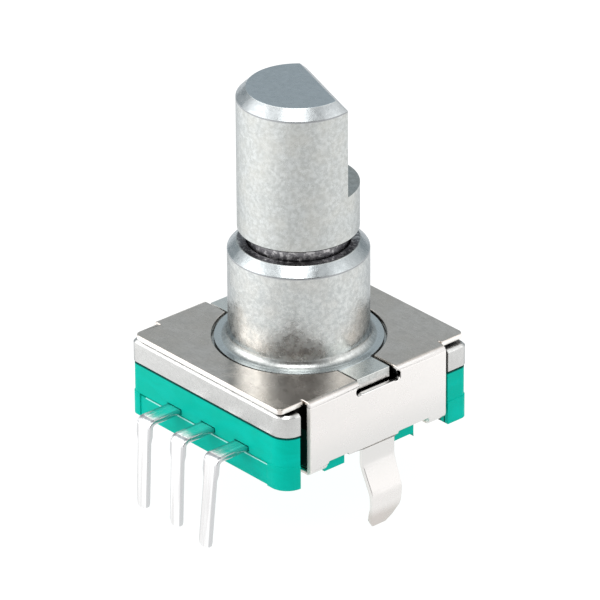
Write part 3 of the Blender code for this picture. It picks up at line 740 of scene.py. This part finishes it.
def make_bushing(look):
    profile = rounded_path([
        (BORE_R, BUSH_TOP - BORE_MOUTH),
        (BORE_R, BUSH_TOP),
        (BUSH_R - BUSH_CHAMFER, BUSH_TOP),
        (BUSH_R, BUSH_TOP - BUSH_CHAMFER),
        (BUSH_R, BOSS_Z + 2 * FOOT_FILLET),
    ], BUSH_EDGE_R, BUSH_EDGE_STEPS)
    profile[0] = (BORE_R, CAVITY_ROOF + LAP)
    profile += arc(FOOT_FILLET, 180, 270, 12, (BUSH_R + FOOT_FILLET, BOSS_Z + FOOT_FILLET))
    profile += [(BOSS_R, BOSS_Z), (BOSS_R, CAVITY_ROOF + LAP)]
    bushing = to_object("bushing_casting", turned(profile))
    rim = prism(rounded_rectangle(FLANGE_X, FLANGE_Y, FLANGE_CORNERS), FLANGE_LOW, REBATE_Z)
    rim = chamfered(rim, REBATE_Z, FLANGE_CHAMFER)
    body = to_object("flange", chamfered(rim, FLANGE_LOW, FLANGE_FOOT_CHAMFER))
    inner = rounded_rectangle(FLANGE_X - REBATE, FLANGE_Y - REBATE, FLANGE_CORNERS)
    add(body, prism(inner, CAVITY_ROOF, FLANGE_HIGH))
    low, high = FLANGE_LOW - OVER, FLANGE_HIGH + OVER
    cut(body, waist(low, high), slot(low, high))
    cut(body, waist(low, high, RECESS_REACH, -RECESS_HALF, RECESS_HALF))
    add(body, box((-TAB_REACH, -TAB_HALF, TAB_LOW), (TAB_REACH, TAB_HALF, TAB_TOP)))
    cut(body, prism(circle(CAVITY_R), low, CAVITY_ROOF))
    cut(body, prism(circle(BORE_R), low, BUSH_TOP + OVER))
    modifier = bushing.modifiers.new("union", "BOOLEAN")
    modifier.operation = "UNION"
    modifier.object = body
    settle(bushing)
    bpy.data.objects.remove(body)
    soften(bushing, 0.05, angle=34)
    finish_piece(bushing, "bushing", "housing", look)


# ---------------------------------------------------------------- cover

def corner_trim(end):
    """What is taken off one corner of the top plate."""
    x, y = CORNER_X, COVER_Y
    outline = [(x, SIDE_HALF), *arc(CORNER_R, 0, 90, 10, (x - CORNER_R, y - CORNER_R)),
               (x - CORNER_R, y + OVER), (x + OVER, y + OVER), (x + OVER, SIDE_HALF)]
    return prism([(u, end * v) for u, v in outline], NOTCH_Z, COVER_TOP + OVER)


def lug_half(height):
    """Half the width of a lug, which narrows toward its tip."""
    for (high, wide), (low, narrow) in zip(LUG_HALVES, LUG_HALVES[1:]):
        if height > low:
            return narrow + (wide - narrow) * min((height - low) / (high - low), 1)
    return LUG_HALVES[-1][1]


def lug():
    """A snap-in leg: straight, then bulging outward, then hooked back in to its tip."""
    centre = SIDE_X - SHEET / 2
    path = rounded_path([(centre + out, height) for out, height in LUG_PATH], LUG_BEND, LUG_BEND_STEPS)
    path[-1:] = [*((centre + out, height) for out, height in LUG_HOOK), path[-1]]
    halves = [lug_half(height) for _, height in path]
    return ribbon(path, LUG_SHEET, 0, halves, lambda u, v, w: (u, w, v))


def make_cover(look):
    middle = SHEET / 2
    side, top, foot = SIDE_X - middle, COVER_TOP - middle, CRIMP_Z + middle
    path = [(-CRIMP_REACH, foot), (-side, foot), (-side, top),
            (side, top), (side, foot), (CRIMP_REACH, foot)]
    section = strip(rounded_path(path, COVER_BEND), SHEET)
    cover = to_object("cover_sheet", prism(section, -COVER_Y, COVER_Y, "XZ"))
    for end in (-1, 1):
        low_y, high_y = sorted((end * SIDE_HALF, end * (COVER_Y + OVER)))
        cut(cover, both_sides(lambda: box((CRIMP_CUT_X, low_y, -OVER), (OUTSIDE, high_y, NOTCH_Z + LAP))))
        cut(cover, both_sides(lambda: corner_trim(end)))
        low_y, high_y = sorted((end * SIDE_HALF, end * (SIDE_HALF + TEAR_WIDTH)))
        cut(cover, both_sides(lambda: box((TEAR_REACH, low_y, TOP_CUT[0]), (OUTSIDE, high_y, TOP_CUT[1]))))
    cut(cover, prism(circle(HOLE_R), *TOP_CUT))
    cut(cover, box((-OUTSIDE, -NOTCH_HALF, NOTCH_Z), (OUTSIDE, NOTCH_HALF, COVER_TOP + OVER)))
    for y in (-NOTCH_HALF, NOTCH_HALF):
        relief = circle(RELIEF_R, (y, RELIEF_Z), 32)
        cut(cover, prism(relief, -OUTSIDE, -RELIEF_X, "YZ"), prism(relief, RELIEF_X, OUTSIDE, "YZ"))
    crimp_gap = ((CRIMP_CUT_X, -CRIMP_START, -OVER), (OUTSIDE, CRIMP_START, SIDE_FOOT_Z))
    cut(cover, both_sides(lambda: box(*crimp_gap)))
    for low_y, high_y in SIDE_NOTCHES:
        cut(cover, both_sides(lambda: box((SIDE_CUT_X, low_y, 0), (OUTSIDE, high_y, SIDE_NOTCH_TOP))))
    add(cover, lug(), turn(lug(), math.pi))
    soften(cover, 0.06, angle=34, clamp=False)
    finish_piece(cover, "cover", "housing", look)


# ---------------------------------------------------------------- base and terminals

def waist(low, high, reach=WAIST_REACH, low_y=WAIST_START, high_y=WAIST_END):
    """What is taken off both sides of the body, where the cover's side plates lie."""
    return both_sides(lambda: box((reach, low_y, low), (OUTSIDE, high_y, high)))


def slot(low, high):
    """The deeper end of the waist, beside one upright edge of each side plate."""
    return waist(low, high, SLOT_REACH, WAIST_START, SLOT_END)


def make_base(look):
    lower = rounded_rectangle(BASE_X, BASE_Y, BASE_CORNERS)
    upper = rounded_rectangle(BASE_X - PARTING_STEP, BASE_Y - PARTING_STEP, BASE_CORNERS)
    base = to_object("base_moulding", prism(lower, 0, PARTING_Z))
    add(base, prism(upper, PARTING_Z - LAP, BASE_TOP))
    low, high = -OVER, BASE_TOP + OVER
    cut(base, waist(low, high), slot(low, high))
    for low_y, high_y in ((WAIST_START, RIBS[0][0]), (RIBS[0][1], RIBS[1][0]), (RIBS[1][1], WAIST_END)):
        cut(base, waist(low, POCKET_HIGH, POCKET_REACH, low_y, high_y))
    for low_y, high_y in RIBS:
        cut(base, waist(low, RIB_LOW, RIB_REACH, low_y, high_y))
    front = -BASE_Y + FRONT_SETBACK
    groove = [(-OUTSIDE, PARTING_Z), (front + GROOVE_DEPTH, PARTING_Z), (front, PARTING_Z - GROOVE_WIDTH),
              (front, low), (-OUTSIDE, low)]
    cut(base, prism(groove, *GROOVE_ENDS, "YZ"))
    cut(base, prism(circle(CAVITY_R), CAVITY_FLOOR, high))
    half, end = TERMINAL_HALF + TERMINAL_GAP, TERMINAL_END_Y + TERMINAL_GAP
    slit_low, slit_high = TERMINAL_TOP - TERMINAL_SHEET - TERMINAL_GAP, TERMINAL_TOP + TERMINAL_GAP
    for x in TERMINALS.values():
        cut(base, box((x - half, -OUTSIDE, slit_low), (x + half, end, slit_high)))
    soften(base, 0.045, angle=30)
    finish_piece(base, "base", "housing", look)


def make_terminal(name, x, look):
    """Flat out of the base, bent straight down, and narrowed below a shoulder."""
    node = f"terminal_{name}"
    low, _ = span(node)
    level = TERMINAL_TOP - TERMINAL_SHEET / 2
    splay = TERMINAL_LEG_Y - TERMINAL_SHEET / 2 - low.y
    lean = splay / (level - low.z)
    path = rounded_path([
        (TERMINAL_END_Y, level),
        (TERMINAL_LEG_Y, level),
        (TERMINAL_LEG_Y - lean * (level - SHOULDER_HIGH), SHOULDER_HIGH),
    ], TERMINAL_BEND)
    halves = [TERMINAL_HALF] * len(path)
    tip = [(low.z + height, LEG_HALF * share) for height, share in LEG_TIP]
    for z, half in ((SHOULDER_LOW, LEG_HALF), *tip):
        path.append((TERMINAL_LEG_Y - lean * (level - z), z))
        halves.append(half)
    bent = ribbon(path, TERMINAL_SHEET, x, halves, lambda u, v, w: (w, u, v))
    terminal = to_object(f"{node}_strip", bent)
    soften(terminal, 0.05, angle=34)
    finish_piece(terminal, node, "housing", look)


# ---------------------------------------------------------------- inner pieces

def carry(node, look):
    """A CAD node shown as it is, with a finished material."""
    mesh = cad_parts[node].data
    mesh.materials.clear()
    mesh.materials.append(look)


# ---------------------------------------------------------------- stage

CAMERA_AZIMUTH, CAMERA_ELEVATION, CAMERA_ROLL = 48.603, 27.592, 0.339  # degrees
CAMERA_DISTANCE = 314.5
CAMERA_LENS = 386.3
AIM_HEIGHT, AIM_RIGHT, AIM_DOWN = 7.5, 0.0562, 1.0503

# Each patch: heading and height of its middle in degrees, its half width, its colour
WORLD_BASE = (0.46, 0.50, 0.52)
WORLD_PATCHES = (
    (-131, 20, 80, (0.47, 0.52, 0.545)),
    (128, 20, 60, (1.25, 1.25, 1.25)),
    (-33, 30, 46, (1.8, 1.8, 1.8)),
    (50, 28, 58, (0.18, 0.17, 0.165)),
    (30, 72, 34, (1.15, 1.15, 1.15)),
)

# Azimuth and elevation in degrees, distance and size in metres, power in watts
LIGHTS = {
    "top_light": (40, 64, 0.40, 0.22, 0.45),
    "left_light": (-35, 30, 0.45, 0.30, 0.35),
    "right_light": (125, 35, 0.50, 0.25, 0.15),
}
LIGHT_AIM_Z = 0.006  # metres

FLOOR_HALF = 0.6  # metres
FLOOR_GAP = 0.05  # millimetres


def toward(azimuth, elevation):
    """A unit vector from angles in degrees. Azimuth 0 is in front of the terminals."""
    a, e = math.radians(azimuth), math.radians(elevation)
    return Vector((math.sin(a) * math.cos(e), -math.cos(a) * math.cos(e), math.sin(e)))


def make_camera():
    back = toward(CAMERA_AZIMUTH, CAMERA_ELEVATION)
    turned_by = math.radians(CAMERA_AZIMUTH)
    right = Vector((math.cos(turned_by), math.sin(turned_by), 0))
    up = back.cross(right)
    aim = (Vector((0, 0, AIM_HEIGHT)) + right * AIM_RIGHT - up * AIM_DOWN) * MM
    roll = Matrix.Rotation(-math.radians(CAMERA_ROLL), 3, back)
    facing = roll @ Matrix((right, up, back)).transposed()
    data = bpy.data.cameras.new("camera")
    data.lens = CAMERA_LENS
    data.sensor_width = 36
    data.clip_start = 0.01
    camera = bpy.data.objects.new("camera", data)
    camera.matrix_world = Matrix.Translation(aim + back * CAMERA_DISTANCE * MM) @ facing.to_4x4()
    bpy.context.collection.objects.link(camera)
    bpy.context.scene.camera = camera


def soft_box(name, azimuth, elevation, distance, size, power):
    """A square area light aimed at the part."""
    back = toward(azimuth, elevation)
    data = bpy.data.lights.new(name, "AREA")
    data.size = size
    data.energy = power
    lamp = bpy.data.objects.new(name, data)
    lamp.location = back * distance + Vector((0, 0, LIGHT_AIM_Z))
    lamp.rotation_euler = back.to_track_quat("Z", "Y").to_euler()
    bpy.context.collection.objects.link(lamp)


def make_world():
    """Studio surroundings: even grey, with bright patches around and above and a dark one in front."""
    world = bpy.data.worlds.new("studio")
    bpy.context.scene.world = world
    world.use_nodes = True
    nodes, links = world.node_tree.nodes, world.node_tree.links
    background = nodes["Background"]
    direction = nodes.new("ShaderNodeTexCoord").outputs["Generated"]
    total = None
    for azimuth, elevation, wide, colour in WORLD_PATCHES:
        facing = nodes.new("ShaderNodeVectorMath")
        facing.operation = "DOT_PRODUCT"
        facing.inputs[1].default_value = toward(azimuth, elevation)
        links.new(direction, facing.inputs[0])
        fade = nodes.new("ShaderNodeMapRange")
        fade.interpolation_type = "SMOOTHSTEP"
        fade.inputs["From Min"].default_value = math.cos(math.radians(wide))
        fade.inputs["From Max"].default_value = 1.0
        links.new(facing.outputs["Value"], fade.inputs["Value"])
        patch = nodes.new("ShaderNodeMix")
        patch.data_type = "RGBA"
        patch.blend_type = "MIX"
        links.new(fade.outputs["Result"], patch.inputs["Factor"])
        if total is None:
            patch.inputs[6].default_value = (*WORLD_BASE, 1)
        else:
            links.new(total, patch.inputs[6])
        patch.inputs[7].default_value = (*colour, 1)
        total = patch.outputs[2]
    links.new(total, background.inputs["Color"])


def make_floor():
    """A translucent sheet lit from below like a light table, brighter to the left and the right."""
    half = FLOOR_HALF
    mesh = bpy.data.meshes.new("floor")
    corners = [(-half, -half, 0), (half, -half, 0), (half, half, 0), (-half, half, 0)]
    mesh.from_pydata(corners, [], [(0, 1, 2, 3)])
    floor = bpy.data.objects.new("floor", mesh)
    floor.location = (0, 0, (COVER_LOW.z - FLOOR_GAP) * MM)
    bpy.context.collection.objects.link(floor)
    look = Look("floor_white")
    tone = look.remap(look.noise(0.02, detail=2), 0.3, 0.7)
    look.set("Base Color", look.mix(tone, (0.12, 0.12, 0.12), (0.13, 0.13, 0.13)))
    look.shader.inputs["Roughness"].default_value = 0.9
    look.shader.inputs["Specular IOR Level"].default_value = 0.0
    look.shader.inputs["Emission Color"].default_value = (1, 1, 1, 1)
    left = look.along((-0.66, -0.75), 12, 32, 0.95, 1.55)
    right = look.along((0.53, 0.85), 10, 30, 0.0, 0.22)
    front = look.along((0.75, -0.66), 13, 26, 1.0, 0.90)
    look.set("Emission Strength", look.maths("MULTIPLY", look.maths("ADD", left, right), front))
    mesh.materials.append(look.material)


def main():
    make_camera()
    make_world()
    make_floor()
    for name, settings in LIGHTS.items():
        soft_box(name, *settings)
    bpy.context.scene.view_settings.view_transform = "Standard"

    make_shaft(cast_zinc("shaft_zinc", SHAFT_TONES, 0.30, SHAFT_NECK_SHADE, SHAFT_ZONES))
    make_bushing(cast_zinc("bushing_zinc", BUSHING_TONES, 0.26, BUSHING_NECK_SHADE, BUSHING_ZONES))
    make_cover(nickel_sheet("cover_nickel", COVER_TONES, 0.22))
    make_base(green_plastic("base_green"))
    for name, x in TERMINALS.items():
        make_terminal(name, x, tinned_brass(f"terminal_{name}_tin", x))
        carry(f"wiper_{name}", inner_metal(f"wiper_{name}_bronze", *BRONZE, 0.26))
    carry("retaining_clip", inner_metal("clip_steel", *CLIP_STEEL, 0.32))
    carry("detent_spring", inner_metal("detent_steel", *SPRING_STEEL, 0.26))
    carry("code_disc", inner_metal("code_disc_brass", *BRASS, 0.28))
    carry("rotor", inner_plastic("rotor_plastic"))


main()
